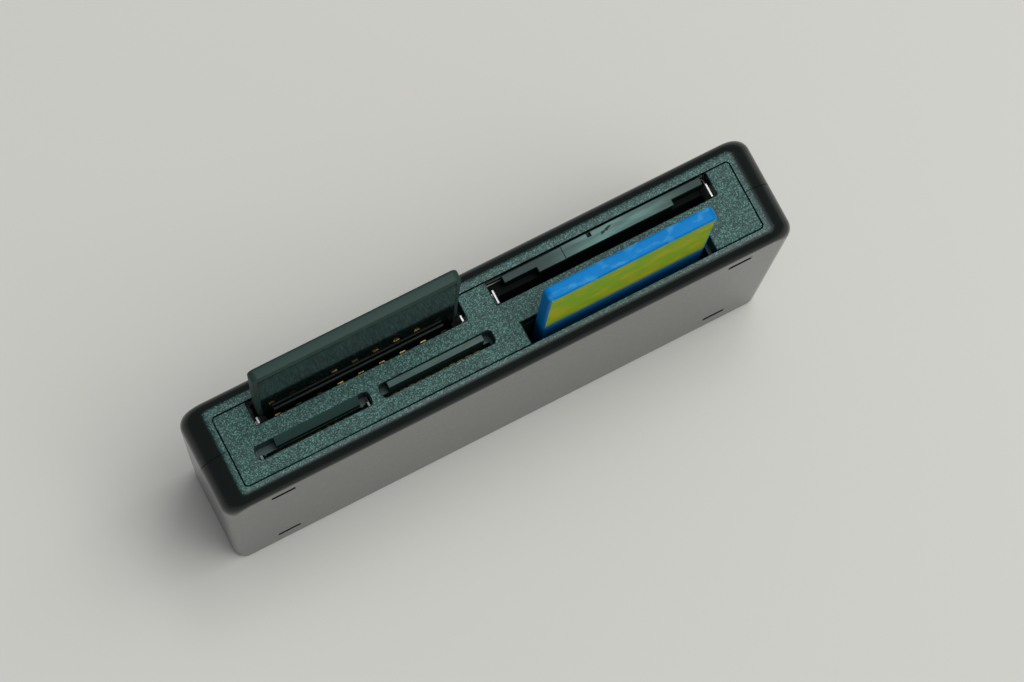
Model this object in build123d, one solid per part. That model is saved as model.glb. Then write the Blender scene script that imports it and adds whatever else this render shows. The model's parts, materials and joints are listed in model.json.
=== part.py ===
from build123d import *
import os

# Compact five-slot memory card reader, standing on its long edge with the slot face up.
# X runs along the length, -Y is the front face and Z is up. All sizes are millimetres.
# The origin is the centre of the resting face.

# Housing: two half shells that meet on the plane Y = 0
body_length = 69.6
body_depth = 12.4
body_height = 35.0
wall = 1.4
long_edge_radius = 1.6
end_edge_radius = 3.2
bottom_edge_radius = 0.6
lip_thickness = 1.6
seam_gap = 0.05
seam_tongue_height = 0.8
seam_tongue_thickness = 0.6
seam_clearance = 0.08

# Blind latch slits near the corners of the front face
slit_length = 2.6
slit_height = 0.9
slit_depth = 0.45
slit_inset = 6.8
slit_top_drop = 3.8
slit_bottom_rise = 4.9

# Slot panel, flush in the opening that the two lips leave
end_rim = 3.4
panel_depth = 8.3
panel_offset = -0.22
panel_gap = 0.1
panel_corner_radius = 0.4
flange_thickness = 0.9
flange_clearance = 0.08
edge_break = 0.1

# Rear row of slots; the shares divide the length of panel that its two slots leave over
wide_slot_length = 25.4
picture_slot_length = 27.2
rear_slot_depth = 2.85
rear_slot_corner = 0.15
rear_left_share = 0.3824
rear_right_share = 0.2745

# Front row of slots; the share divides the length that the row and its webs leave over
small_slot_length = 13.6
small_slot_y = -1.7
small_slot_depth = 1.6
small_slot_corner = 0.45
small_slot_web = 1.25
stick_slot_length = 22.8
stick_slot_depth = 2.65
stick_slot_web = 3.25
front_left_share = 0.3012

# Lead-in ramp of the micro slot
ramp_length = 10.0
ramp_shift = 0.6
ramp_reach = 0.8
ramp_drop = 1.1

# Circuit board between the two rows of sockets
board_thickness = 1.0
board_offset = 0.1
board_end_gap = 0.6
board_bottom = 3.0
board_top_gap = 0.7

# Card sockets
socket_top_gap = 0.4
sheet = 0.25
rail_width = 0.8
stop_thickness = 1.2
card_side_gap = 0.2
wide_flare_inset = 1.0
flare_setback = 0.2
flare_side_gap = 0.1
flare_end_gap = 0.3
flare_drop = 0.7
wide_card_width = 24.0
picture_card_width = 25.0
micro_card_width = 11.0
small_card_width = 12.5
stick_card_width = 21.5
picture_seat_depth = 17.0
small_seat_depth = 13.5
small_lip_thickness = 0.75
small_lip_length = 11.5
small_lip_drop = 0.35
lip_line = 0.05
picture_channel_depth = 1.3
block_left_gap = 2.05
block_right_gap = 0.75
block_end_length = 3.9
picture_block_step = 0.65
picture_block_drop = 0.6
block_shelf_length = 7.2
block_shelf_drop = 0.15
block_notch_x = -1.6
block_notch_size = 0.5

# Comb that stands along the card in the wide socket
comb_side_gap = 2.0
comb_thickness = 0.25
comb_gap = 0.06
comb_drop = 0.6
comb_bar_height = 1.8

# Spring contacts
wide_contact_count = 9
wide_contact_pitch = 2.5
wide_contact_tip = 6.8
picture_contact_count = 18
picture_contact_pitch = 1.2
micro_contact_count = 8
micro_contact_pitch = 1.1
small_contact_count = 11
small_contact_pitch = 1.0
stick_contact_count = 10
stick_contact_pitch = 1.6
contact_thickness = 0.15
contact_width = 0.7
contact_tail = 1.2
contact_foot = 2.0
contact_rise = 5.0
contact_tip = 1.5
contact_tip_drop = 0.3
contact_reach = 0.35
contact_clearance = 0.1

# Cards that stand in two of the sockets
dark_card_length = 32.0
dark_card_thickness = 1.4
dark_card_proud = 16.6
dark_card_rear_gap = 0.39
dark_card_corner = 4.0
blue_card_width = 20.0
blue_card_length = 31.0
blue_card_thickness = 1.6
blue_card_proud = 13.6
blue_card_gap = 0.25
blue_card_shift = 0.3
card_corner_radius = 0.8
card_edge_break = 0.2

# Five-pin port in the right end
port_width = 7.7
port_height = 3.9
port_depth = 9.2
port_sheet = 0.3
port_corner = 1.0
port_recess = 0.3
port_clearance = 0.15
port_z = 8.5
tongue_width = 4.2
tongue_thickness = 0.9
tongue_setback = 1.0
port_back_thickness = 1.5
port_pin_count = 5
port_pin_pitch = 0.8
port_pin_width = 0.4
port_pin_thickness = 0.2

# Pins and bosses that join the shells through the board
boss_diameter = 3.4
pin_diameter = 1.5
pin_length = 2.4
pin_clearance = 0.1
boss_z = 7.0
boss_left_inset = 6.4
boss_right_inset = 14.4
end_rib_width = 1.6
end_rib_bottom = 22.0

# Parts on the board
chip_size = 7.0
chip_thickness = 0.9
chip_x = -8.0
chip_z = 9.5
crystal_length = 5.0
crystal_width = 3.2
crystal_thickness = 1.1
crystal_x = -18.0
capacitor_length = 1.6
capacitor_width = 0.8
capacitor_thickness = 0.8
capacitor_count = 6
capacitor_pitch = 3.0
capacitor_x = -8.0
capacitor_z = 10.0

# Levels and places that follow from the sizes above
REAR = 1
FRONT = -1
panel_length = body_length - 2 * end_rim
cavity_half_length = body_length / 2 - wall
cavity_half_depth = body_depth / 2 - wall
lip_underside = body_height - lip_thickness
flange_underside = lip_underside - flange_thickness
socket_top = flange_underside - socket_top_gap
panel_rear_edge = panel_offset + panel_depth / 2
panel_front_edge = panel_offset - panel_depth / 2
rear_spare = panel_length - wide_slot_length - picture_slot_length
wide_slot_x = -panel_length / 2 + rear_left_share * rear_spare + wide_slot_length / 2
picture_slot_x = panel_length / 2 - rear_right_share * rear_spare - picture_slot_length / 2
front_row_length = 2 * small_slot_length + small_slot_web + stick_slot_web + stick_slot_length
front_row_left = -panel_length / 2 + front_left_share * (panel_length - front_row_length)
micro_slot_x = front_row_left + small_slot_length / 2
small_slot_x = micro_slot_x + small_slot_length + small_slot_web
stick_slot_x = front_row_left + front_row_length - stick_slot_length / 2
rear_inner_edge = panel_rear_edge - rear_slot_depth
rear_slot_y = panel_rear_edge - rear_slot_depth / 2
small_inner_edge = small_slot_y + small_slot_depth / 2
small_outer_edge = small_slot_y - small_slot_depth / 2
stick_inner_edge = panel_front_edge + stick_slot_depth
stick_slot_y = panel_front_edge + stick_slot_depth / 2
boss_places = (-cavity_half_length + boss_left_inset, cavity_half_length - boss_right_inset)
board_faces = {side: board_offset + side * board_thickness / 2 for side in (REAR, FRONT)}
board_top = flange_underside - board_top_gap


def slab(length, depth, x, y, z_low, z_high, corner=0.0):
    """An upright block with optional rounded vertical edges."""
    outline = RectangleRounded(length, depth, corner) if corner else Rectangle(length, depth)
    return extrude(Plane((x, y, z_low)) * outline, amount=z_high - z_low)


def board_plane(side, x, z):
    """Plane at height z whose Y axis points away from one face of the board."""
    return Plane((x, board_faces[side], z), x_dir=(side, 0, 0), z_dir=(0, 0, 1))


def section_plane(side, x):
    """Upright plane across the board: its X axis leaves the board, its Y axis is Z."""
    return Plane((x, board_faces[side], 0), x_dir=(0, side, 0), z_dir=(side, 0, 0))


def away(side, y):
    """Distance of a place y from one face of the board."""
    return side * (y - board_faces[side])


def polygon(plane, points):
    return plane * make_face(Polyline(*points, close=True))


# Slot panel
def slot_cutter(x, y, length, depth, corner=0.0):
    return slab(length, depth, x, y, flange_underside - wall, body_height + wall, corner)


def make_slot_panel():
    """Plate and flange with the five slots, and the smooth lead-in ramp of the micro slot."""
    plate = slab(panel_length, panel_depth, 0, panel_offset, lip_underside, body_height, panel_corner_radius)
    flange = slab(
        2 * (cavity_half_length - flange_clearance),
        2 * (cavity_half_depth - flange_clearance),
        0, 0, flange_underside, lip_underside,
    )
    panel = plate + flange
    panel -= slot_cutter(wide_slot_x, rear_slot_y, wide_slot_length, rear_slot_depth, rear_slot_corner)
    panel -= slot_cutter(picture_slot_x, rear_slot_y, picture_slot_length, rear_slot_depth, rear_slot_corner)
    panel -= slot_cutter(stick_slot_x, stick_slot_y, stick_slot_length, stick_slot_depth)
    for x in (micro_slot_x, small_slot_x):
        panel -= slot_cutter(x, small_slot_y, small_slot_length, small_slot_depth, small_slot_corner)
    panel = chamfer(panel.faces().sort_by(Axis.Z)[-1].edges(), edge_break)
    return panel + make_ramp()


def make_ramp():
    """Wedge along the board side of the micro slot, sloping down from the panel's top to the card gap."""
    top = body_height - edge_break
    section = Plane((micro_slot_x + ramp_shift, 0, 0), x_dir=(0, 1, 0), z_dir=(1, 0, 0))
    wedge = polygon(section, [
        (small_inner_edge, top),
        (small_inner_edge, flange_underside),
        (small_inner_edge - ramp_reach, flange_underside),
        (small_inner_edge - ramp_reach, top - ramp_drop),
    ])
    return extrude(wedge, amount=ramp_length / 2, both=True)


# Housing shells
def make_block():
    """Solid block with broad rounds on its top ends and smaller ones round its front and rear faces."""
    outline = Plane.XZ * Pos(0, body_height / 2) * Rectangle(body_length, body_height)
    outline = fillet(outline.vertices().group_by(Axis.Z)[-1], end_edge_radius)
    block = extrude(outline, amount=body_depth / 2, both=True)
    faces = block.faces().sort_by(Axis.Y)
    rims = faces[0].edges() + faces[-1].edges()
    rims = rims.filter_by(lambda edge: edge.center().Z > bottom_edge_radius)
    block = fillet(rims, long_edge_radius)
    return fillet(block.faces().sort_by(Axis.Z)[0].edges(), bottom_edge_radius)


def make_housing():
    """Both half shells as one hollow block, before it is parted."""
    block = make_block()
    block -= slab(2 * cavity_half_length, 2 * cavity_half_depth, 0, 0, wall, lip_underside)
    block -= slab(
        panel_length + 2 * panel_gap, panel_depth + 2 * panel_gap,
        0, panel_offset, lip_underside - wall, body_height + wall, panel_corner_radius + panel_gap,
    )
    return block


def half_space(side):
    """Everything on one side of the seam, less half of the seam's gap."""
    reach = body_depth
    y = side * (reach / 2 + seam_gap / 2)
    return slab(2 * body_length, reach, 0, y, -wall, body_height + wall)


def seam_tongue(clearance):
    """Tongue that runs round both ends and the bottom of the seam, grown by a clearance."""
    grow = seam_tongue_thickness + clearance
    seam = Plane.XZ
    middle = (wall + lip_underside) / 2
    tall = lip_underside - wall
    outer = seam * Pos(0, middle - grow / 2) * Rectangle(2 * (cavity_half_length + grow), tall + grow)
    inner = seam * Pos(0, middle) * Rectangle(2 * cavity_half_length, tall)
    return extrude(outer - inner, amount=-(seam_tongue_height + clearance)) + extrude(
        outer - inner, amount=seam_gap
    )


def boss(side, x, diameter, y_from, y_to):
    """A round post across the housing from one depth to another."""
    post = Plane((x, y_from, boss_z), z_dir=(0, side, 0)) * Circle(diameter / 2)
    return extrude(post, amount=abs(y_to - y_from))


def end_rib(side, end):
    """Rib in one end of a shell that clamps the board and carries the panel's flange."""
    inner_wall = side * cavity_half_depth
    face = board_faces[side]
    depth = abs(inner_wall - face)
    x = end * (cavity_half_length - end_rib_width / 2)
    return slab(end_rib_width, depth, x, (inner_wall + face) / 2, end_rib_bottom, flange_underside)


def latch_slit(end, z):
    """A thin blind slit in the front face near one end."""
    x = end * (body_length / 2 - slit_inset)
    y = -body_depth / 2
    return slab(slit_length, 2 * slit_depth, x, y, z - slit_height / 2, z + slit_height / 2)


def make_front_shell(housing):
    """Front half: tongue round the seam, latch slits, and bosses whose pins pass through the board."""
    shell = housing & half_space(FRONT)
    for end in (-1, 1):
        shell -= latch_slit(end, slit_bottom_rise)
        shell -= latch_slit(end, body_height - slit_top_drop)
    shell += seam_tongue(0)
    for x in boss_places:
        shell += boss(REAR, x, boss_diameter, -cavity_half_depth, board_faces[FRONT])
        shell += boss(REAR, x, pin_diameter, board_faces[FRONT], board_faces[REAR] + pin_length)
    for end in (-1, 1):
        shell += end_rib(FRONT, end)
    return shell - port_opening()


def make_rear_shell(housing):
    """Rear half: groove round the seam, bosses that take the pins, and the opening for the port."""
    shell = housing & half_space(REAR)
    shell -= seam_tongue(seam_clearance)
    for x in boss_places:
        shell += boss(FRONT, x, boss_diameter, cavity_half_depth, board_faces[REAR])
        pin_end = board_faces[REAR] + pin_length
        shell -= boss(REAR, x, pin_diameter + 2 * pin_clearance, board_faces[REAR], pin_end + pin_clearance)
    for end in (-1, 1):
        shell += end_rib(REAR, end)
    return shell - port_opening()


# Circuit board
def make_board():
    """Board between the rows of sockets, with a hole for each pin."""
    length = 2 * (cavity_half_length - board_end_gap)
    board = slab(length, board_thickness, 0, board_offset, board_bottom, board_top)
    for x in boss_places:
        board -= boss(
            REAR, x, pin_diameter + 2 * pin_clearance, board_faces[FRONT] - wall, board_faces[REAR] + wall
        )
    return board


# Card sockets
class Socket:
    """A surface-mounted card socket: insulating tray, folded sheet shell and a row of spring contacts.

    Its card channel lies straight below one slot of the panel, between the depths inner and outer,
    and ends at the level seat, where the card comes to rest.
    """

    def __init__(
        self, side, x, slot_length, card_width, inner, outer, seat, contacts, pitch, reach,
        tip=contact_tip, tip_drop=contact_tip_drop, flare_room=0.0, flare_inset=0.0,
    ):
        self.side = side
        self.x = x
        self.slot_length = slot_length
        self.channel_width = card_width + 2 * card_side_gap
        self.base = away(side, inner)
        self.top = away(side, outer)
        self.seat = seat
        self.contacts = contacts
        self.pitch = pitch
        self.reach = reach
        self.tip = tip
        self.tip_drop = tip_drop
        self.flare_room = flare_room
        self.flare_inset = flare_inset
        self.width = self.channel_width + 2 * rail_width
        self.foot = seat - stop_thickness

    def plane(self, z):
        return board_plane(self.side, self.x, z)

    def block(self, width, low, high, z_low, z_high):
        """A block about the socket's middle between two distances from the board."""
        outline = Pos(0, (low + high) / 2) * Rectangle(width, high - low)
        return extrude(self.plane(z_low) * outline, amount=z_high - z_low)

    def contact_places(self):
        first = -(self.contacts - 1) / 2 * self.pitch
        return [self.x + first + i * self.pitch for i in range(self.contacts)]

    def body(self):
        """Tray with two rails and a stop, grooved for the contacts."""
        tray = self.block(self.width, 0, self.top, self.foot, socket_top)
        tray -= self.block(self.channel_width, self.base, self.top, self.seat, socket_top)
        groove_top = self.seat + contact_foot + contact_rise + self.tip + contact_clearance
        for x in self.contact_places():
            groove = slab(
                contact_width + 2 * contact_clearance, self.base, x,
                board_faces[self.side] + self.side * self.base / 2, self.foot, groove_top,
            )
            tray -= groove
        return tray

    def shell(self):
        """Folded sheet over the tray."""
        return self.cover(self.top)

    def cover(self, height):
        """Folded sheet of an inside height, with lead-in flares at the ends of the mouth if it has any."""
        sheets = self.block(self.width + 2 * sheet, 0, height + sheet, self.foot, socket_top)
        sheets -= self.block(self.width, 0, height, self.foot, socket_top)
        if self.flare_room:
            sheets += self.flare(-1)
            sheets += self.flare(1)
        return sheets

    def flare(self, end):
        """Bent ear that leaves a side of the shell over the rail and leans out into the end of the slot."""
        near = self.channel_width / 2 - self.flare_inset
        far = self.slot_length / 2 - flare_end_gap
        side_face = self.width / 2 + sheet
        tip = body_height - flare_drop
        bend = socket_top + sheet
        points = [
            (near, socket_top),
            (side_face, socket_top),
            (side_face, bend),
            (near + sheet, bend),
            (far, tip),
            (far - sheet, tip),
            (near, bend),
        ]
        y = board_faces[self.side] + self.side * (self.base + flare_setback)
        width = self.flare_room - flare_setback - flare_side_gap
        upright = Plane((self.x, y, 0), x_dir=(end, 0, 0), z_dir=(0, -end, 0))
        return extrude(polygon(upright, points), amount=-end * self.side * width)

    def springs(self):
        """Contacts: a foot on the board, then an arm that rises into the channel and turns back."""
        low = self.foot - contact_tail
        bend = self.seat + contact_foot
        crest = bend + contact_rise
        tip = crest + self.tip
        thick = contact_thickness
        reach = self.base + self.reach - thick
        points = [
            (0, low),
            (0, bend),
            (reach, crest),
            (reach - self.tip_drop, tip),
            (reach - self.tip_drop + thick, tip),
            (reach + thick, crest),
            (thick, bend),
            (thick, low),
        ]
        arms = []
        for x in self.contact_places():
            profile = polygon(section_plane(self.side, x), points)
            arms.append(extrude(profile, amount=contact_width / 2, both=True))
        return arms


dark_card_front = panel_rear_edge - dark_card_rear_gap - dark_card_thickness
dark_card_room = dark_card_front - rear_inner_edge
comb_front = dark_card_room - comb_gap - comb_thickness
wide_contact_reach = dark_card_room - contact_clearance
dark_card_seat = body_height + dark_card_proud - dark_card_length
blue_card_seat = body_height + blue_card_proud - blue_card_length

wide_socket = Socket(
    REAR, wide_slot_x, wide_slot_length, wide_card_width, rear_inner_edge, panel_rear_edge,
    dark_card_seat, wide_contact_count, wide_contact_pitch,
    reach=wide_contact_reach, tip=wide_contact_tip,
    tip_drop=wide_contact_reach - contact_thickness - (comb_front - contact_thickness) / 2,
    flare_room=dark_card_room, flare_inset=wide_flare_inset,
)
picture_socket = Socket(
    REAR, picture_slot_x, picture_slot_length, picture_card_width, rear_inner_edge,
    rear_inner_edge + picture_channel_depth,
    body_height - picture_seat_depth, picture_contact_count, picture_contact_pitch, reach=contact_reach,
    flare_room=picture_channel_depth + picture_block_step,
)
micro_socket = Socket(
    FRONT, micro_slot_x, small_slot_length, micro_card_width, small_inner_edge - ramp_reach,
    small_outer_edge, body_height - small_seat_depth, micro_contact_count, micro_contact_pitch,
    reach=contact_reach, flare_room=small_slot_depth - ramp_reach,
)
small_socket = Socket(
    FRONT, small_slot_x, small_slot_length, small_card_width, small_inner_edge - small_lip_thickness,
    small_outer_edge, body_height - small_seat_depth, small_contact_count, small_contact_pitch,
    reach=contact_reach,
)
stick_socket = Socket(
    FRONT, stick_slot_x, stick_slot_length, stick_card_width, stick_inner_edge, panel_front_edge,
    blue_card_seat, stick_contact_count, stick_contact_pitch, reach=blue_card_gap - contact_clearance,
)


def make_wide_body():
    """Tray with a comb along the front of the card, open below its top bar at each contact."""
    tray = wide_socket.body()
    front = wide_socket.base + comb_front
    bar_top = body_height - comb_drop
    comb_length = wide_socket.channel_width - 2 * comb_side_gap
    comb = wide_socket.block(comb_length, front, front + comb_thickness, wide_socket.seat, bar_top)
    middle = board_faces[REAR] + front + comb_thickness / 2
    for x in wide_socket.contact_places():
        comb -= slab(
            contact_width + 2 * contact_clearance, 2 * comb_thickness, x, middle,
            wide_socket.seat, bar_top - comb_bar_height,
        )
    return tray + comb


def picture_block(width, low, x, z_low, z_high):
    """Block from one distance off the board out to the rear edge of the slot."""
    y = board_faces[REAR] + low
    rear = panel_rear_edge - lip_line
    return slab(width, rear - y, x, (y + rear) / 2, z_low, z_high)


def make_picture_body():
    """Tray roofed by a thick block whose stepped top edge stands up into the slot."""
    socket = picture_socket
    low = socket.top
    top = body_height - picture_block_drop
    length = picture_slot_length - block_left_gap - block_right_gap
    x = picture_slot_x + (block_left_gap - block_right_gap) / 2
    shelf = x - length / 2 + block_shelf_length / 2
    tray = socket.body() + picture_block(socket.width, low, picture_slot_x, socket.foot, socket_top)
    tray += picture_block(length - 2 * block_end_length, low, x, socket_top, top)
    tray += picture_block(length, low + picture_block_step, x, socket_top, top)
    tray -= picture_block(block_shelf_length, low, shelf, top - block_shelf_drop, body_height)
    return tray - slab(
        block_notch_size, 2 * block_notch_size, x + block_notch_x, panel_rear_edge - lip_line,
        top - block_notch_size, body_height,
    )


def make_picture_shell():
    """Folded sheet round the tray and its block."""
    return picture_socket.cover(away(REAR, panel_rear_edge - lip_line))


def make_small_body():
    """Tray whose base stands up into the slot as a smooth lip along its board side."""
    tray = small_socket.body()
    low = away(FRONT, small_inner_edge) + lip_line
    top = body_height - small_lip_drop
    return tray + small_socket.block(small_lip_length, low, small_socket.base, socket_top, top)


# Cards
def card(width, length, thickness, x, y, seat, cut_corner):
    """A sealed card with eased edges, standing on its seat, with one lower corner cut off if asked."""
    face = Plane((x, y, seat + length / 2), x_dir=(1, 0, 0), z_dir=(0, -1, 0))
    outline = RectangleRounded(width, length, card_corner_radius)
    blank = extrude(face * outline, amount=thickness / 2, both=True)
    for side in (0, -1):
        blank = chamfer(blank.faces().sort_by(Axis.Y)[side].edges(), card_edge_break)
    if cut_corner:
        left, low = -width / 2, -length / 2
        notch = polygon(face, [(left, low), (left + cut_corner, low), (left, low + cut_corner)])
        blank -= extrude(notch, amount=thickness, both=True)
    return blank


def make_dark_card():
    y = dark_card_front + dark_card_thickness / 2
    return card(
        wide_card_width, dark_card_length, dark_card_thickness, wide_slot_x, y, dark_card_seat,
        dark_card_corner,
    )


def make_blue_card():
    y = stick_inner_edge - blue_card_gap - blue_card_thickness / 2
    x = stick_slot_x + blue_card_shift
    return card(blue_card_width, blue_card_length, blue_card_thickness, x, y, blue_card_seat, 0)


# Five-pin port
def port_outline(grow):
    """Port section seen from its mouth, with two cut corners away from the board, grown by an amount."""
    half = port_width / 2 + grow
    high = port_height + grow
    cut = port_corner
    return [
        (-half, -grow),
        (half, -grow),
        (half, high - cut),
        (half - cut, high),
        (-half + cut, high),
        (-half, high - cut),
    ]


def port_section(grow, x_from, x_to):
    """The port's section carried along X from one place to another."""
    mouth = Plane((x_from, board_faces[REAR], port_z), x_dir=(0, 0, 1), z_dir=(1, 0, 0))
    points = [(along, -out) for along, out in port_outline(grow)]
    return extrude(polygon(mouth, points), amount=x_to - x_from)


def port_opening():
    """Room for the port in the right end of the shells."""
    return port_section(port_clearance, body_length / 2 - 2 * wall, body_length / 2 + wall)


port_mouth = body_length / 2 - port_recess
port_back = port_mouth - port_depth
tongue_out = port_height / 2


def make_port_shell():
    tube = port_section(0, port_back, port_mouth)
    return tube - port_section(-port_sheet, port_back, port_mouth)


def make_port_tongue():
    """Insulator that closes the back of the port and carries a tongue towards its mouth."""
    back = port_section(-port_sheet, port_back, port_back + port_back_thickness)
    y = board_faces[REAR] + tongue_out
    tip = port_mouth - tongue_setback
    tongue = Pos((port_back + tip) / 2, y, port_z) * Box(tip - port_back, tongue_thickness, tongue_width)
    return back + tongue


def make_port_contacts():
    """Flat pins on the face of the tongue that looks at the board."""
    y = board_faces[REAR] + tongue_out - tongue_thickness / 2 - port_pin_thickness / 2
    start = port_back + port_back_thickness
    tip = port_mouth - tongue_setback - port_pin_pitch
    first = port_z - (port_pin_count - 1) / 2 * port_pin_pitch
    pins = []
    for i in range(port_pin_count):
        place = Pos((start + tip) / 2, y, first + i * port_pin_pitch)
        pins.append(place * Box(tip - start, port_pin_thickness, port_pin_width))
    return pins


# Parts on the board
def on_board(side, length, width, thickness, x, z):
    """A low block soldered on one face of the board."""
    y = board_faces[side] + side * thickness / 2
    return slab(length, thickness, x, y, z - width / 2, z + width / 2)


def make_crystal():
    crystal = on_board(FRONT, crystal_length, crystal_width, crystal_thickness, crystal_x, chip_z)
    return fillet(crystal.edges().filter_by(Axis.Y), crystal_width / 4)


def make_capacitors():
    first = capacitor_x - (capacitor_count - 1) / 2 * capacitor_pitch
    places = [first + i * capacitor_pitch for i in range(capacitor_count)]
    size = (capacitor_length, capacitor_width, capacitor_thickness)
    return [on_board(REAR, *size, x, capacitor_z) for x in places]


housing = make_housing()
nodes = {
    "front_shell": make_front_shell(housing),
    "rear_shell": make_rear_shell(housing),
    "slot_panel": make_slot_panel(),
    "circuit_board": make_board(),
    "wide_socket_body": make_wide_body(),
    "wide_socket_shell": wide_socket.shell(),
    "wide_socket_contacts": wide_socket.springs(),
    "picture_socket_body": make_picture_body(),
    "picture_socket_shell": make_picture_shell(),
    "picture_socket_contacts": picture_socket.springs(),
    "micro_socket_body": micro_socket.body(),
    "micro_socket_shell": micro_socket.shell(),
    "micro_socket_contacts": micro_socket.springs(),
    "small_socket_body": make_small_body(),
    "small_socket_shell": small_socket.shell(),
    "small_socket_contacts": small_socket.springs(),
    "stick_socket_body": stick_socket.body(),
    "stick_socket_shell": stick_socket.shell(),
    "stick_socket_contacts": stick_socket.springs(),
    "dark_card": make_dark_card(),
    "blue_card": make_blue_card(),
    "usb_port_shell": make_port_shell(),
    "usb_port_tongue": make_port_tongue(),
    "usb_port_contacts": make_port_contacts(),
    "controller_chip": on_board(FRONT, chip_size, chip_size, chip_thickness, chip_x, chip_z),
    "clock_crystal": make_crystal(),
    "chip_capacitors": make_capacitors(),
}

os.makedirs("parts", exist_ok=True)
for name, shape in nodes.items():
    if isinstance(shape, list):
        shape = Compound(children=shape)
    export_step(shape, f"parts/{name}.step")
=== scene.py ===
import json
import math

import bmesh
import bpy
import numpy as np
from mathutils import Matrix, Vector


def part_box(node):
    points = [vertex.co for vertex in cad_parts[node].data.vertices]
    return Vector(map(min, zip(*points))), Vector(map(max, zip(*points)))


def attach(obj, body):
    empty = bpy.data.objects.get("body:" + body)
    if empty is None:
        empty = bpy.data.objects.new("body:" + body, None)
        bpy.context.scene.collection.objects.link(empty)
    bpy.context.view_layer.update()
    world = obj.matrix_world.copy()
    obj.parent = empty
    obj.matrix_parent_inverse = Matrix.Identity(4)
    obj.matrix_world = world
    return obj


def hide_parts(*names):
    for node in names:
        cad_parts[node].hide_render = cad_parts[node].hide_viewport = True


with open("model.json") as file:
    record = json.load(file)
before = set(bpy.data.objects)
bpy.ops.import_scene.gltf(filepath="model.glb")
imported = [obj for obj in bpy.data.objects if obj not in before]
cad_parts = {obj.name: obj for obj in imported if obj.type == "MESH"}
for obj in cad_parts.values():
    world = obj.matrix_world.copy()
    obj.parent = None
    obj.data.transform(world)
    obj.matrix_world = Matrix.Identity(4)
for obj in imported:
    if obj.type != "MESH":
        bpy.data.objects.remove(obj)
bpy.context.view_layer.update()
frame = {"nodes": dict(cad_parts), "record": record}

# Looks of the five-slot card reader: a finish for every node, eased edges, soft studio light and a camera.
# Lengths in this script are millimetres until they meet a mesh, a light or the camera.
MM = 0.001
nodes = frame["nodes"]
slots = {row["node"]: row["material_slot"] for row in frame["record"]["subparts"]}

# Camera, from a fit to the housing's corners in a 1024 x 682 image
IMAGE_WIDTH = 1024
FOCAL_PIXELS = 3000.0
SENSOR_WIDTH = 36.0
CAMERA_AZIMUTH = -40.32
CAMERA_ELEVATION = 77.79
CAMERA_ROLL = 12.99
CAMERA_AIM = (1.1, -3.1, 34.7)
CAMERA_DISTANCE = 323.0

# Widths of the eased edges that moulding and stamping leave, by node; the others keep their own edges
EASED_EDGES = {
    "front_shell": 0.03,
    "rear_shell": 0.03,
    "slot_panel": 0.03,
    "wide_socket_body": 0.04,
    "picture_socket_body": 0.06,
    "micro_socket_body": 0.04,
    "small_socket_body": 0.045,
    "stick_socket_body": 0.05,
    "wide_socket_shell": 0.05,
    "picture_socket_shell": 0.05,
    "micro_socket_shell": 0.02,
    "small_socket_shell": 0.05,
    "stick_socket_shell": 0.05,
    "wide_socket_contacts": 0.03,
    "usb_port_shell": 0.06,
    "usb_port_tongue": 0.08,
    "usb_port_contacts": 0.04,
    "controller_chip": 0.06,
    "clock_crystal": 0.1,
    "chip_capacitors": 0.06,
}
EASE_SEGMENTS = 2
SHARP_ANGLE = math.radians(32.0)
WELD_DISTANCE = 1e-6
FLAT_ANGLE = math.radians(0.6)

# Latch slits on the front face: width of their worn rims, and the border of that face that holds none
SLIT_EASE = 0.22
SLIT_BORDER = 5.0

# Cards: eased rims, and a shallow field on the front face for a plain label
CARD_CORNER = 0.8
CARD_EASE = 0.3
LABEL_DEPTH = 0.03
LABEL_SLOPE = 0.04
LABEL_CORNER = 0.4
LABEL_MARGIN = {"dark_card": 0.55, "blue_card": 0.32}
LABEL_FOOT = {"dark_card": 9.0, "blue_card": 16.4}
LABEL_FADE = 3.2
DARK_CARD_CUT = 4.0
CORNER_STEPS = 10
EASE_STEPS = 6

# Spark grain on the flat top, with painted sparkle on a few grains. It fades out over the housing's round
# edges within one depth below the top, where the colour's fall to near black is partly painted shade, and
# on the panel between two depths.
HOUSING_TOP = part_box("front_shell")[1].z / MM
GRAIN_AND_SHADE_FADE = 0.09
PANEL_GRAIN_ENDS = 0.09
PANEL_GRAIN_FULL = 0.03
GRAIN_SIZE = 0.105
GRAIN_DUST = 0.08
GRAIN_RELIEF = 0.012
GRAIN_DARK = (0.008, 0.033, 0.028)
# Colour of the few bright grains: painted sparkle, standing in for light that such grains catch
GRAIN_PAINTED_SPARKLE = (0.095, 0.235, 0.205)

# Lead-in ramp in the panel's micro slot, along X
RAMP_MIDDLE = -21.5
RAMP_LENGTH = 10.4

# Marks on the moulded block of the picture socket: a painted highlight (sheen) along X, painted shade below
# its top, and one gouge. The gouge's half width and half length are each given as where its fading starts
# and where it ends.
BLOCK_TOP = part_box("picture_socket_body")[1].z / MM
SHEEN_MIDDLE = 17.0
SHEEN_CORE = 1.0
SHEEN_REACH = 10.0
# Depths below the block's top over which its colour turns black: painted shade
LIT_TOP_ENDS = 0.6
LIT_TOP_FULL = 0.2
GOUGE_X = 16.0
GOUGE_Y = 3.33
GOUGE_SLANT = 17.0
GOUGE_HALF_WIDTH = (0.08, 0.14)
GOUGE_HALF_LENGTH = (0.55, 0.75)

# Fittings on the board
BOARD_RUN_PITCH = 1.3
CHIP_DIMPLE_INSET = 1.1
CHIP_DIMPLE_RADIUS = 0.3
CAPACITOR_COUNT = 6
CAPACITOR_LENGTH = 1.6
CAPACITOR_CAP = 0.4

# Studio: the floor's half width in metres, and the light from all round
FLOOR_HALF_WIDTH = 1.5
FLOOR_COLOUR = (0.62, 0.61, 0.57)
SKY_COLOUR = (0.9, 0.95, 1.0)
SKY_STRENGTH = 0.26


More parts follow.
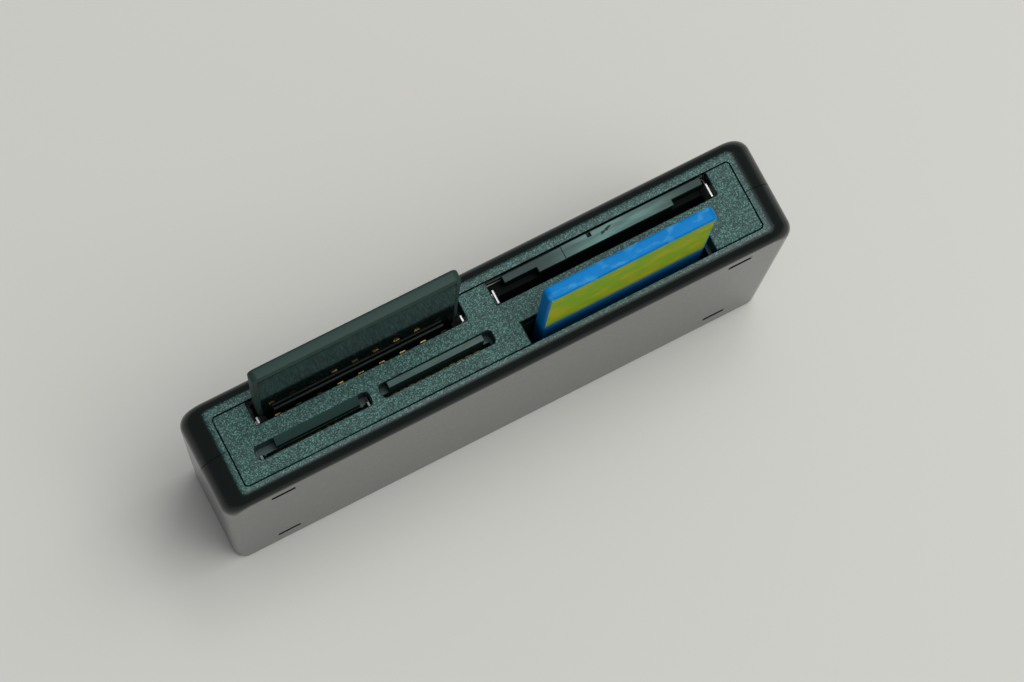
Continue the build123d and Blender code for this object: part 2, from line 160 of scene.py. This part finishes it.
class Finish:
    """A material under construction: its node tree, its shader and one shared Object coordinate."""

    def __init__(self, name, colour, roughness, **settings):
        self.material = bpy.data.materials.new(name)
        self.material.use_nodes = True
        self.tree = self.material.node_tree
        self.shader = self.tree.nodes["Principled BSDF"]
        self.shader.inputs["Base Color"].default_value = (*colour, 1.0)
        self.shader.inputs["Roughness"].default_value = roughness
        for socket, value in settings.items():
            self.shader.inputs[socket.replace("_", " ")].default_value = value
        self.place = self.tree.nodes.new("ShaderNodeTexCoord").outputs["Object"]

    def node(self, kind, **settings):
        made = self.tree.nodes.new("ShaderNode" + kind)
        for name, value in settings.items():
            setattr(made, name, value)
        return made

    def link(self, source, target):
        self.tree.links.new(source, target)

    def math(self, operation, first, second=None):
        """One arithmetic step; each operand is a number or another node's output."""
        made = self.node("Math", operation=operation)
        for socket, value in zip(made.inputs, (first, second)):
            if value is None:
                continue
            if isinstance(value, (int, float)):
                socket.default_value = value
            else:
                self.link(value, socket)
        return made.outputs[0]

    def axis(self, name):
        """One Object coordinate in millimetres."""
        split = self.node("SeparateXYZ")
        self.link(self.place, split.inputs[0])
        return self.math("DIVIDE", split.outputs[name], MM)

    def stretched(self, scale):
        """Object coordinates multiplied along each axis."""
        mapping = self.node("Mapping")
        mapping.inputs["Scale"].default_value = scale
        self.link(self.place, mapping.inputs["Vector"])
        return mapping.outputs[0]

    def noise(self, size, detail=2.0, vector=None):
        """Cloudy noise whose lumps are about size millimetres across."""
        made = self.node("TexNoise")
        made.inputs["Scale"].default_value = 1.0 / (size * MM)
        made.inputs["Detail"].default_value = detail
        self.link(vector or self.place, made.inputs["Vector"])
        return made.outputs["Fac"]

    def cells(self, size):
        """Grains about size millimetres across.

        Gives the distance from the nearest grain's middle, and a chance number for each grain.
        """
        made = self.node("TexVoronoi")
        made.inputs["Scale"].default_value = 1.0 / (size * MM)
        self.link(self.place, made.inputs["Vector"])
        chance = self.node("SeparateColor")
        self.link(made.outputs["Color"], chance.inputs[0])
        return made.outputs["Distance"], chance.outputs[0]

    def ramp(self, value, low, high, from_value, to_value):
        """Value carried smoothly from one range to another and held at its ends."""
        made = self.node("MapRange", interpolation_type="SMOOTHSTEP")
        self.link(value, made.inputs["Value"])
        for socket, number in zip(list(made.inputs)[1:5], (low, high, from_value, to_value)):
            socket.default_value = number
        return made.outputs[0]

    def within(self, name, low, high):
        """One where an Object coordinate in millimetres lies between two values, zero elsewhere."""
        place = self.axis(name)
        return self.math(
            "MULTIPLY", self.math("GREATER_THAN", place, low), self.math("LESS_THAN", place, high)
        )

    def blend(self, factor, first, second):
        """Colour between two colours; each is a tuple or another node's output."""
        made = self.node("Mix", data_type="RGBA")
        self.link(factor, made.inputs["Factor"])
        for socket, value in zip((made.inputs[6], made.inputs[7]), (first, second)):
            if isinstance(value, tuple):
                socket.default_value = (*value, 1.0)
            else:
                self.link(value, socket)
        return made.outputs[2]

    def bump(self, height, depth):
        """Relief whose height of 1 stands depth millimetres."""
        made = self.node("Bump")
        made.inputs["Distance"].default_value = depth * MM
        self.link(height, made.inputs["Height"])
        self.link(made.outputs[0], self.shader.inputs["Normal"])

    def drive(self, socket, value):
        self.link(value, self.shader.inputs[socket])


# Finishes
def spark_grain(finish):
    """Spark-eroded mould texture: height of its crowded pits, and a grain colour with painted sparkle on a
    few grains.
    """
    pits, chance = finish.cells(GRAIN_SIZE)
    dust = finish.noise(GRAIN_DUST, 1.0)
    height = finish.math("ADD", pits, finish.math("MULTIPLY", dust, 0.6))
    # A few grains get a bright colour: painted sparkle
    painted_sparkle = finish.math("POWER", chance, 3.0)
    grain_and_sparkle = finish.blend(painted_sparkle, GRAIN_DARK, GRAIN_PAINTED_SPARKLE)
    return height, grain_and_sparkle


def make_housing_finish():
    """Satin black moulding: spark grain with painted sparkle on the flat rim dies away over the round edges
    to smooth sides, whose near-black colour is partly their own and partly painted shade.
    """
    finish = Finish("satin_black_moulding", (0.006, 0.009, 0.008), 0.2, Specular_IOR_Level=0.25)
    rim = finish.ramp(finish.axis("Z"), HOUSING_TOP - GRAIN_AND_SHADE_FADE, HOUSING_TOP, 0.0, 1.0)
    grain, grain_and_sparkle = spark_grain(finish)
    faint = finish.math("MULTIPLY", finish.noise(0.4, 2.0), 0.03)
    finish.bump(finish.math("ADD", finish.math("MULTIPLY", grain, rim), faint), GRAIN_RELIEF)
    # Near black over the round edges: partly their own smooth black, partly painted shade where they turn
    # from the light
    finish.drive("Base Color", finish.blend(rim, (0.004, 0.007, 0.006), grain_and_sparkle))
    handling = finish.ramp(finish.noise(0.3, 2.0), 0.3, 0.7, 0.15, 0.2)
    finish.drive("Roughness", finish.math("ADD", handling, finish.math("MULTIPLY", rim, 0.22)))
    return finish.material


def make_panel_finish():
    """Black panel with spark grain and painted sparkle on its face, smooth dark slot walls and a paler
    lead-in ramp.
    """
    finish = Finish("spark_grained_panel", (0.02, 0.033, 0.028), 0.48, Specular_IOR_Level=0.2)
    starts, full = HOUSING_TOP - PANEL_GRAIN_ENDS, HOUSING_TOP - PANEL_GRAIN_FULL
    face = finish.ramp(finish.axis("Z"), starts, full, 0.0, 1.0)
    grain, grain_and_sparkle = spark_grain(finish)
    faint = finish.math("MULTIPLY", finish.noise(0.5, 2.0), 0.06)
    finish.bump(finish.math("ADD", finish.math("MULTIPLY", grain, face), faint), GRAIN_RELIEF)
    lead_in = finish.within("X", RAMP_MIDDLE - RAMP_LENGTH / 2, RAMP_MIDDLE + RAMP_LENGTH / 2)
    walls = finish.blend(lead_in, (0.012, 0.022, 0.019), (0.028, 0.056, 0.049))
    finish.drive("Base Color", finish.blend(face, walls, grain_and_sparkle))
    finish.drive("Roughness", finish.ramp(face, 0.0, 1.0, 0.34, 0.44))
    return finish.material


def make_insulator_finish(name, shade, light, gloss):
    """Smooth connector moulding with faint flow marks and a few fine scratches along its length."""
    finish = Finish(name, shade, 0.4, Specular_IOR_Level=gloss)
    flow = finish.noise(1.6, 2.0)
    scratches = finish.noise(0.5, 3.0, finish.stretched((0.12, 1.0, 1.0)))
    finish.bump(finish.math("ADD", flow, finish.math("MULTIPLY", scratches, 0.6)), 0.012)
    finish.drive("Base Color", finish.blend(flow, shade, light))
    finish.drive("Roughness", finish.ramp(scratches, 0.3, 0.7, 0.3, 0.44))
    return finish.material


def make_block_finish():
    """Connector moulding whose top has a pale painted highlight (sheen) along its middle, streaked like
    scratches, and one gouge, with painted shade making it black below.

    The painted sheen fades with the distance from its middle, and the top's colour gives way to painted
    shade with the depth below the top. The gouge is a narrow slanted stroke with ragged sides: within half
    its width across the slant, and within half its length along X.
    """
    finish = Finish("connector_moulding_painted_sheen", (0.02, 0.05, 0.043), 0.35, Specular_IOR_Level=0.12)
    streaks = finish.noise(0.5, 3.0, finish.stretched((0.12, 1.0, 1.0)))
    x = finish.axis("X")
    aside = finish.math("ABSOLUTE", finish.math("SUBTRACT", x, SHEEN_MIDDLE))
    along = finish.ramp(aside, SHEEN_CORE, SHEEN_REACH, 1.0, 0.0)
    # Darker below the top: painted shade
    up = finish.ramp(finish.axis("Z"), BLOCK_TOP - LIT_TOP_ENDS, BLOCK_TOP - LIT_TOP_FULL, 0.0, 1.0)
    # Pale stretch along X: a painted highlight (sheen), streaked like scratches
    painted_sheen = finish.math("MULTIPLY", along, finish.ramp(streaks, 0.35, 0.65, 0.5, 1.0))
    right = finish.math("SUBTRACT", x, GOUGE_X)
    rear = finish.math("SUBTRACT", finish.axis("Y"), GOUGE_Y)
    slant = math.radians(GOUGE_SLANT)
    over = finish.math(
        "SUBTRACT",
        finish.math("MULTIPLY", rear, math.cos(slant)),
        finish.math("MULTIPLY", right, math.sin(slant)),
    )
    ragged = finish.math("ADD", over, finish.ramp(finish.noise(0.35, 1.0), 0.3, 0.7, -0.1, 0.1))
    stroke = finish.math(
        "MULTIPLY",
        finish.ramp(finish.math("ABSOLUTE", ragged), *GOUGE_HALF_WIDTH, 1.0, 0.0),
        finish.ramp(finish.math("ABSOLUTE", right), *GOUGE_HALF_LENGTH, 1.0, 0.0),
    )
    finish.bump(finish.math("SUBTRACT", finish.math("MULTIPLY", streaks, 0.2), stroke), 0.06)
    # Pale colour along the middle is painted highlight; the black below the top is painted shade
    top = finish.blend(painted_sheen, (0.016, 0.04, 0.034), (0.13, 0.25, 0.22))
    body = finish.blend(up, (0.003, 0.006, 0.005), top)
    finish.drive("Base Color", finish.blend(stroke, body, (0.004, 0.008, 0.007)))
    finish.drive("Roughness", finish.math("SUBTRACT", 0.9, finish.math("MULTIPLY", up, 0.55)))
    return finish.material


def make_steel_finish(name, shade, light):
    """Folded sheet with drawing lines down its height and a dull film in patches."""
    finish = Finish(name, light, 0.34, Metallic=1.0)
    lines = finish.noise(0.12, 2.0, finish.stretched((1.0, 1.0, 0.1)))
    film = finish.noise(1.2, 3.0)
    finish.bump(lines, 0.006)
    finish.drive("Base Color", finish.blend(film, shade, light))
    finish.drive("Roughness", finish.ramp(film, 0.3, 0.7, 0.38, 0.52))
    return finish.material


def make_contact_finish():
    """Gold plated spring strip, dulled more on some strips than on others."""
    finish = Finish("gold_spring_strip", (0.5, 0.33, 0.12), 0.35, Metallic=1.0)
    film = finish.ramp(finish.noise(4.0, 1.0), 0.4, 0.62, 0.0, 1.0)
    finish.bump(finish.noise(0.1, 2.0), 0.004)
    finish.drive("Base Color", finish.blend(film, (0.03, 0.021, 0.009), (0.27, 0.18, 0.065)))
    finish.drive("Roughness", finish.ramp(film, 0.0, 1.0, 0.55, 0.36))
    return finish.material


def label_field(finish, node):
    """One over the label field of a card, zero on its margins and rim."""
    low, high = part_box(node)
    margin = LABEL_MARGIN[node]
    across = finish.within("X", low.x / MM + margin, high.x / MM - margin)
    along = finish.within("Z", low.z / MM + LABEL_FOOT[node], high.z / MM - margin)
    front = finish.math("LESS_THAN", finish.axis("Y"), low.y / MM + 2 * LABEL_DEPTH)
    return finish.math("MULTIPLY", front, finish.math("MULTIPLY", across, along))


def make_dark_card_finish():
    """Black card: fine matt shell with a smooth, glossier label field."""
    finish = Finish("black_card_shell", (0.008, 0.016, 0.013), 0.3, Specular_IOR_Level=0.18)
    field = label_field(finish, "dark_card")
    grain = finish.noise(0.12, 2.0)
    finish.bump(finish.math("MULTIPLY", grain, finish.ramp(field, 0.0, 1.0, 1.0, 0.1)), 0.006)
    shell = finish.blend(grain, (0.009, 0.025, 0.02), (0.022, 0.052, 0.042))
    finish.drive("Base Color", finish.blend(field, shell, (0.006, 0.012, 0.01)))
    finish.drive("Roughness", finish.ramp(field, 0.0, 1.0, 0.5, 0.08))
    return finish.material


def make_blue_card_finish():
    """Bright blue card, scuffed along its top, with one mottled lime label that fades out at its foot."""
    finish = Finish("blue_card_shell", (0.0, 0.17, 0.5), 0.45, Specular_IOR_Level=0.08)
    field = label_field(finish, "blue_card")
    flow = finish.noise(1.5, 3.0)
    finish.bump(finish.noise(0.3, 2.0), 0.003)
    shell = finish.blend(flow, (0.0, 0.14, 0.4), (0.0, 0.19, 0.52))
    height = finish.axis("Z")
    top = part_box("blue_card")[1].z / MM
    scuffs = finish.ramp(finish.noise(0.9, 2.0, finish.stretched((0.5, 1.0, 1.0))), 0.52, 0.72, 0.0, 0.6)
    worn = finish.math("MULTIPLY", scuffs, finish.ramp(height, top - 0.5, top - 0.25, 0.0, 1.0))
    shell = finish.blend(worn, shell, (0.05, 0.3, 0.56))
    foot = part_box("blue_card")[0].z / MM + LABEL_FOOT["blue_card"]
    faded = finish.math("MULTIPLY", field, finish.ramp(height, foot, foot + LABEL_FADE, 0.0, 1.0))
    mottle = finish.ramp(finish.noise(2.6, 2.0), 0.35, 0.65, 0.0, 1.0)
    label = finish.blend(mottle, (0.24, 0.44, 0.004), (0.44, 0.45, 0.004))
    finish.drive("Base Color", finish.blend(faded, shell, label))
    finish.drive("Roughness", finish.ramp(field, 0.0, 1.0, 0.48, 0.6))
    return finish.material


def make_board_finish():
    """Green solder mask over copper runs that show as slightly lighter, raised lines."""
    finish = Finish("green_board", (0.02, 0.09, 0.04), 0.35)
    wander = finish.noise(5.0, 1.0)
    pitches = finish.math("DIVIDE", finish.axis("X"), BOARD_RUN_PITCH)
    runs = finish.math("FRACT", finish.math("ADD", pitches, wander))
    line = finish.ramp(finish.math("ABSOLUTE", finish.math("SUBTRACT", runs, 0.5)), 0.1, 0.14, 1.0, 0.0)
    finish.bump(line, 0.03)
    finish.drive("Base Color", finish.blend(line, (0.012, 0.06, 0.026), (0.03, 0.13, 0.055)))
    finish.drive("Roughness", finish.ramp(finish.noise(0.4, 2.0), 0.3, 0.7, 0.28, 0.42))
    return finish.material


def make_chip_finish():
    """Moulding compound with fine grit and one round dimple that marks the first leg."""
    finish = Finish("chip_compound", (0.02, 0.02, 0.021), 0.6)
    low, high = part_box("controller_chip")
    across = finish.math("SUBTRACT", finish.axis("X"), low.x / MM + CHIP_DIMPLE_INSET)
    along = finish.math("SUBTRACT", finish.axis("Z"), high.z / MM - CHIP_DIMPLE_INSET)
    squares = finish.math("ADD", finish.math("POWER", across, 2.0), finish.math("POWER", along, 2.0))
    rim = CHIP_DIMPLE_RADIUS ** 2
    dimple = finish.ramp(squares, rim, rim + 0.03, 0.0, 1.0)
    grit = finish.noise(0.08, 2.0)
    finish.bump(finish.math("ADD", dimple, finish.math("MULTIPLY", grit, 0.3)), 0.03)
    finish.drive("Base Color", finish.blend(grit, (0.013, 0.013, 0.014), (0.03, 0.03, 0.031)))
    finish.drive("Roughness", finish.ramp(dimple, 0.0, 1.0, 0.3, 0.6))
    return finish.material


def make_capacitor_finish():
    """Fired tan body with a tinned cap on both ends of each one along the row."""
    finish = Finish("fired_tan_body", (0.36, 0.24, 0.14), 0.45)
    low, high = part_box("chip_capacitors")
    pitch = ((high.x - low.x) / MM - CAPACITOR_LENGTH) / (CAPACITOR_COUNT - 1)
    from_end = finish.math("SUBTRACT", finish.axis("X"), low.x / MM)
    along = finish.math("FRACT", finish.math("DIVIDE", from_end, pitch))
    body = finish.math(
        "MULTIPLY",
        finish.math("GREATER_THAN", along, CAPACITOR_CAP / pitch),
        finish.math("LESS_THAN", along, (CAPACITOR_LENGTH - CAPACITOR_CAP) / pitch),
    )
    grit = finish.noise(0.08, 2.0)
    finish.bump(grit, 0.008)
    tan = finish.blend(grit, (0.28, 0.18, 0.1), (0.42, 0.29, 0.17))
    finish.drive("Base Color", finish.blend(body, (0.6, 0.6, 0.58), tan))
    finish.drive("Metallic", finish.math("SUBTRACT", 1.0, body))
    finish.drive("Roughness", finish.ramp(body, 0.0, 1.0, 0.3, 0.5))
    return finish.material


finishes = {
    "housing": make_housing_finish(),
    "panel": make_panel_finish(),
    "board": make_board_finish(),
    "insulator": make_insulator_finish(
        "connector_moulding", (0.02, 0.048, 0.041), (0.04, 0.086, 0.075), 0.18
    ),
    "steel": make_steel_finish("folded_sheet", (0.24, 0.25, 0.24), (0.42, 0.43, 0.41)),
    "contact": make_contact_finish(),
    "chip": make_chip_finish(),
    "capacitor": make_capacitor_finish(),
    "dark_card": make_dark_card_finish(),
    "blue_card": make_blue_card_finish(),
}
# Darker copies of the connector moulding and the folded sheet are painted shade on the wide socket and on
# the micro socket's sheet; the picture socket's block has a painted sheen and a gouge
own_finishes = {
    # Darker copy of the connector moulding: painted shade for the socket deep in the wide slot
    "wide_socket_body": make_insulator_finish(
        "connector_moulding_painted_shade", (0.004, 0.008, 0.007), (0.009, 0.017, 0.014), 0.1
    ),
    "picture_socket_body": make_block_finish(),
    # Darker copy of the folded sheet: painted shade on the micro socket's sheet
    "micro_socket_shell": make_steel_finish("sheet_painted_shade", (0.05, 0.062, 0.06), (0.1, 0.118, 0.114)),
}


def finish_of(node):
    """The node's own finish, or else the one of its material slot."""
    return own_finishes.get(node, finishes[slots[node]])


for name in slots:
    mesh = nodes[name].data
    mesh.materials.clear()
    mesh.materials.append(finish_of(name))


# Pieces
def add_piece(name, mesh, node):
    """Puts a finished mesh into the scene in place of one node, with that node's finish."""
    mesh.materials.clear()
    mesh.materials.append(finish_of(node))
    piece = bpy.data.objects.new(name, mesh)
    bpy.context.scene.collection.objects.link(piece)
    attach(piece, "root")
    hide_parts(node)
    return piece


def ease_slits(shell):
    """Worn rims on the latch slits, whose points lie on the front face well inside its border."""
    places = np.empty(len(shell.data.vertices) * 3)
    shell.data.vertices.foreach_get("co", places)
    x, y, z = places.reshape(-1, 3).T / MM
    low, high = (np.array(corner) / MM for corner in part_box("front_shell"))
    inside = np.abs(x) < high[0] - SLIT_BORDER
    inside &= (z > low[2] + SLIT_BORDER / 2) & (z < high[2] - SLIT_BORDER / 2)
    rims = shell.vertex_groups.new(name="slit_rims")
    rims.add(np.flatnonzero(inside & (y < low[1] + SLIT_EASE)).tolist(), 1.0, "REPLACE")
    worn = shell.modifiers.new("worn_slits", "BEVEL")
    worn.width = SLIT_EASE * MM
    worn.segments = 1
    worn.limit_method = "VGROUP"
    worn.vertex_group = "slit_rims"


def ease_edges(node, width):
    """The node's own solid with its loose triangles merged and its sharp edges eased by a small round.

    Shading then follows the larger of the faces that meet, so that flat faces stay even up to their edges.
    """
    merged = bmesh.new()
    merged.from_mesh(nodes[node].data)
    bmesh.ops.remove_doubles(merged, verts=merged.verts, dist=WELD_DISTANCE)
    bmesh.ops.dissolve_limit(
        merged,
        angle_limit=FLAT_ANGLE,
        use_dissolve_boundaries=False,
        verts=merged.verts,
        edges=merged.edges,
    )
    mesh = bpy.data.meshes.new(node + "_eased")
    merged.to_mesh(mesh)
    merged.free()
    mesh.set_sharp_from_angle(angle=SHARP_ANGLE)
    piece = add_piece(node + "_eased", mesh, node)
    if node == "front_shell":
        ease_slits(piece)
    round_off = piece.modifiers.new("eased_edges", "BEVEL")
    round_off.width = width * MM
    round_off.segments = EASE_SEGMENTS
    round_off.limit_method = "ANGLE"
    round_off.angle_limit = SHARP_ANGLE
    round_off.harden_normals = True
    even = piece.modifiers.new("even_shading", "WEIGHTED_NORMAL")
    even.keep_sharp = True


def rounded_outline(angles, reaches, inset, radius):
    """Closed outline of a plate whose straight sides lie at the reaches along their outward angles.

    The sides are moved in by the inset, one value for each side. Each corner is an arc of the radius about
    the point where its two sides, moved in by the radius as well, cross.
    """
    turns = np.radians(angles)
    normals = np.stack([np.cos(turns), np.sin(turns)], axis=1)
    offsets = reaches - inset - radius
    pairs = np.stack([normals, np.roll(normals, -1, axis=0)], axis=1)
    pair_offsets = np.stack([offsets, np.roll(offsets, -1)], axis=1)
    centres = np.linalg.solve(pairs, pair_offsets[..., None])[..., 0]
    sweep = np.mod(np.roll(turns, -1) - turns, 2 * np.pi)
    arc = turns[:, None] + sweep[:, None] * np.linspace(0.0, 1.0, CORNER_STEPS)
    points = centres[:, None] + radius * np.stack([np.cos(arc), np.sin(arc)], axis=2)
    return points.reshape(-1, 2)


def add_card(node, cut_corner):
    """A card as a stack of rounded outlines that starts in the label field and ends on the rear face.

    The outlines step out of the field to the front face, follow a quarter round from the face to the rim,
    and mirror it behind. On the quarter round the inset falls as one less a sine while the depth grows as
    one less a cosine.
    """
    low, high = (np.array(corner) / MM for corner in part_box(node))
    middle = (low + high) / 2
    half_width, half_length = (high[0] - low[0]) / 2, (high[2] - low[2]) / 2
    angles = [0.0, 90.0, 180.0, 270.0]
    reaches = [half_width, half_length, half_width, half_length]
    field = [LABEL_MARGIN[node], LABEL_MARGIN[node], LABEL_MARGIN[node], LABEL_FOOT[node]]
    if cut_corner:
        angles.insert(3, 225.0)
        reaches.insert(3, (half_width + half_length - cut_corner) / math.sqrt(2.0))
        cut_margin = (LABEL_MARGIN[node] + LABEL_FOOT[node] - cut_corner) / math.sqrt(2.0)
        field.insert(3, cut_margin + LABEL_CORNER)
    reaches, field = np.array(reaches), np.array(field)
    even = np.ones_like(reaches)
    quarter = np.linspace(0.0, np.pi / 2, EASE_STEPS)
    run_in = CARD_EASE * (1.0 - np.sin(quarter))
    depth = CARD_EASE * (1.0 - np.cos(quarter))
    rings = [(field + LABEL_SLOPE, LABEL_CORNER, low[1] + LABEL_DEPTH), (field, LABEL_CORNER, low[1])]
    rings += [(even * i, CARD_CORNER - i, low[1] + d) for i, d in zip(run_in, depth)]
    rings += [(even * i, CARD_CORNER - i, high[1] - d) for i, d in zip(run_in[::-1], depth[::-1])]
    outlines = np.array([rounded_outline(angles, reaches, inset, radius) for inset, radius, _ in rings])
    depths = np.array([y for _, _, y in rings])
    around = outlines.shape[1]
    points = np.empty((len(rings), around, 3))
    points[..., 0] = outlines[..., 0] + middle[0]
    points[..., 1] = depths[:, None]
    points[..., 2] = outlines[..., 1] + middle[2]
    index = np.arange(len(rings) * around).reshape(len(rings), around)
    ahead = np.roll(index, -1, axis=1)
    quads = np.stack([index[:-1], index[1:], ahead[1:], ahead[:-1]], axis=2).reshape(-1, 4)
    faces = quads.tolist() + [index[0].tolist(), index[-1][::-1].tolist()]
    mesh = bpy.data.meshes.new(node + "_shell")
    mesh.from_pydata((points.reshape(-1, 3) * MM).tolist(), [], faces)
    rounded = np.arange(len(faces)) // around
    mesh.polygons.foreach_set("use_smooth", (rounded > 1) & (rounded < len(rings) - 1))
    add_piece(node + "_shell", mesh, node)


for name, width in EASED_EDGES.items():
    ease_edges(name, width)
add_card("dark_card", DARK_CARD_CUT)
add_card("blue_card", 0.0)


# Studio
def add_floor():
    """Plain pale floor under the reader."""
    half = FLOOR_HALF_WIDTH
    corners = [(-half, -half, 0.0), (half, -half, 0.0), (half, half, 0.0), (-half, half, 0.0)]
    mesh = bpy.data.meshes.new("studio_floor")
    mesh.from_pydata(corners, [], [(0, 1, 2, 3)])
    floor = bpy.data.objects.new("studio_floor", mesh)
    bpy.context.scene.collection.objects.link(floor)
    finish = Finish("pale_floor", FLOOR_COLOUR, 0.85)
    mesh.materials.append(finish.material)


def add_area_light(name, azimuth, elevation, distance, size, power):
    """Square soft light that looks at the reader; distance and size are metres, the power watts."""
    light = bpy.data.lights.new(name, "AREA")
    light.shape = "SQUARE"
    light.size = size
    light.energy = power
    lamp = bpy.data.objects.new(name, light)
    az, el = math.radians(azimuth), math.radians(elevation)
    away = Vector((math.sin(az) * math.cos(el), -math.cos(az) * math.cos(el), math.sin(el)))
    lamp.location = away * distance
    lamp.rotation_euler = away.to_track_quat("Z", "Y").to_euler()
    bpy.context.scene.collection.objects.link(lamp)


def add_world():
    """Even light from all round the studio."""
    world = bpy.data.worlds.new("studio")
    world.use_nodes = True
    sky = world.node_tree.nodes["Background"]
    sky.inputs["Color"].default_value = (*SKY_COLOUR, 1.0)
    sky.inputs["Strength"].default_value = SKY_STRENGTH
    bpy.context.scene.world = world


def add_camera():
    """Camera with its optical axis through the aim point, turned about that axis by the roll."""
    az, el, roll = (math.radians(a) for a in (CAMERA_AZIMUTH, CAMERA_ELEVATION, CAMERA_ROLL))
    back = Vector((math.sin(az) * math.cos(el), -math.cos(az) * math.cos(el), math.sin(el)))
    right = (-back).cross(Vector((0, 0, 1))).normalized()
    up = right.cross(-back)
    turned_right = math.cos(roll) * right + math.sin(roll) * up
    turned_up = math.cos(roll) * up - math.sin(roll) * right
    turn = Matrix((turned_right, turned_up, back)).transposed().to_4x4()
    data = bpy.data.cameras.new("studio_camera")
    data.sensor_width = SENSOR_WIDTH
    data.lens = SENSOR_WIDTH * FOCAL_PIXELS / IMAGE_WIDTH
    data.clip_start = 0.01
    camera = bpy.data.objects.new("studio_camera", data)
    camera.matrix_world = Matrix.Translation((Vector(CAMERA_AIM) + back * CAMERA_DISTANCE) * MM) @ turn
    bpy.context.scene.collection.objects.link(camera)
    bpy.context.scene.camera = camera


add_floor()
add_world()
add_area_light("key", azimuth=70.0, elevation=76.0, distance=0.6, size=0.25, power=1.1)
add_area_light("ceiling", azimuth=66.0, elevation=73.0, distance=0.9, size=0.85, power=4.4)
add_area_light("glint", azimuth=131.0, elevation=74.6, distance=0.6, size=0.08, power=0.2)
add_camera()
bpy.context.scene.view_settings.view_transform = "Standard"
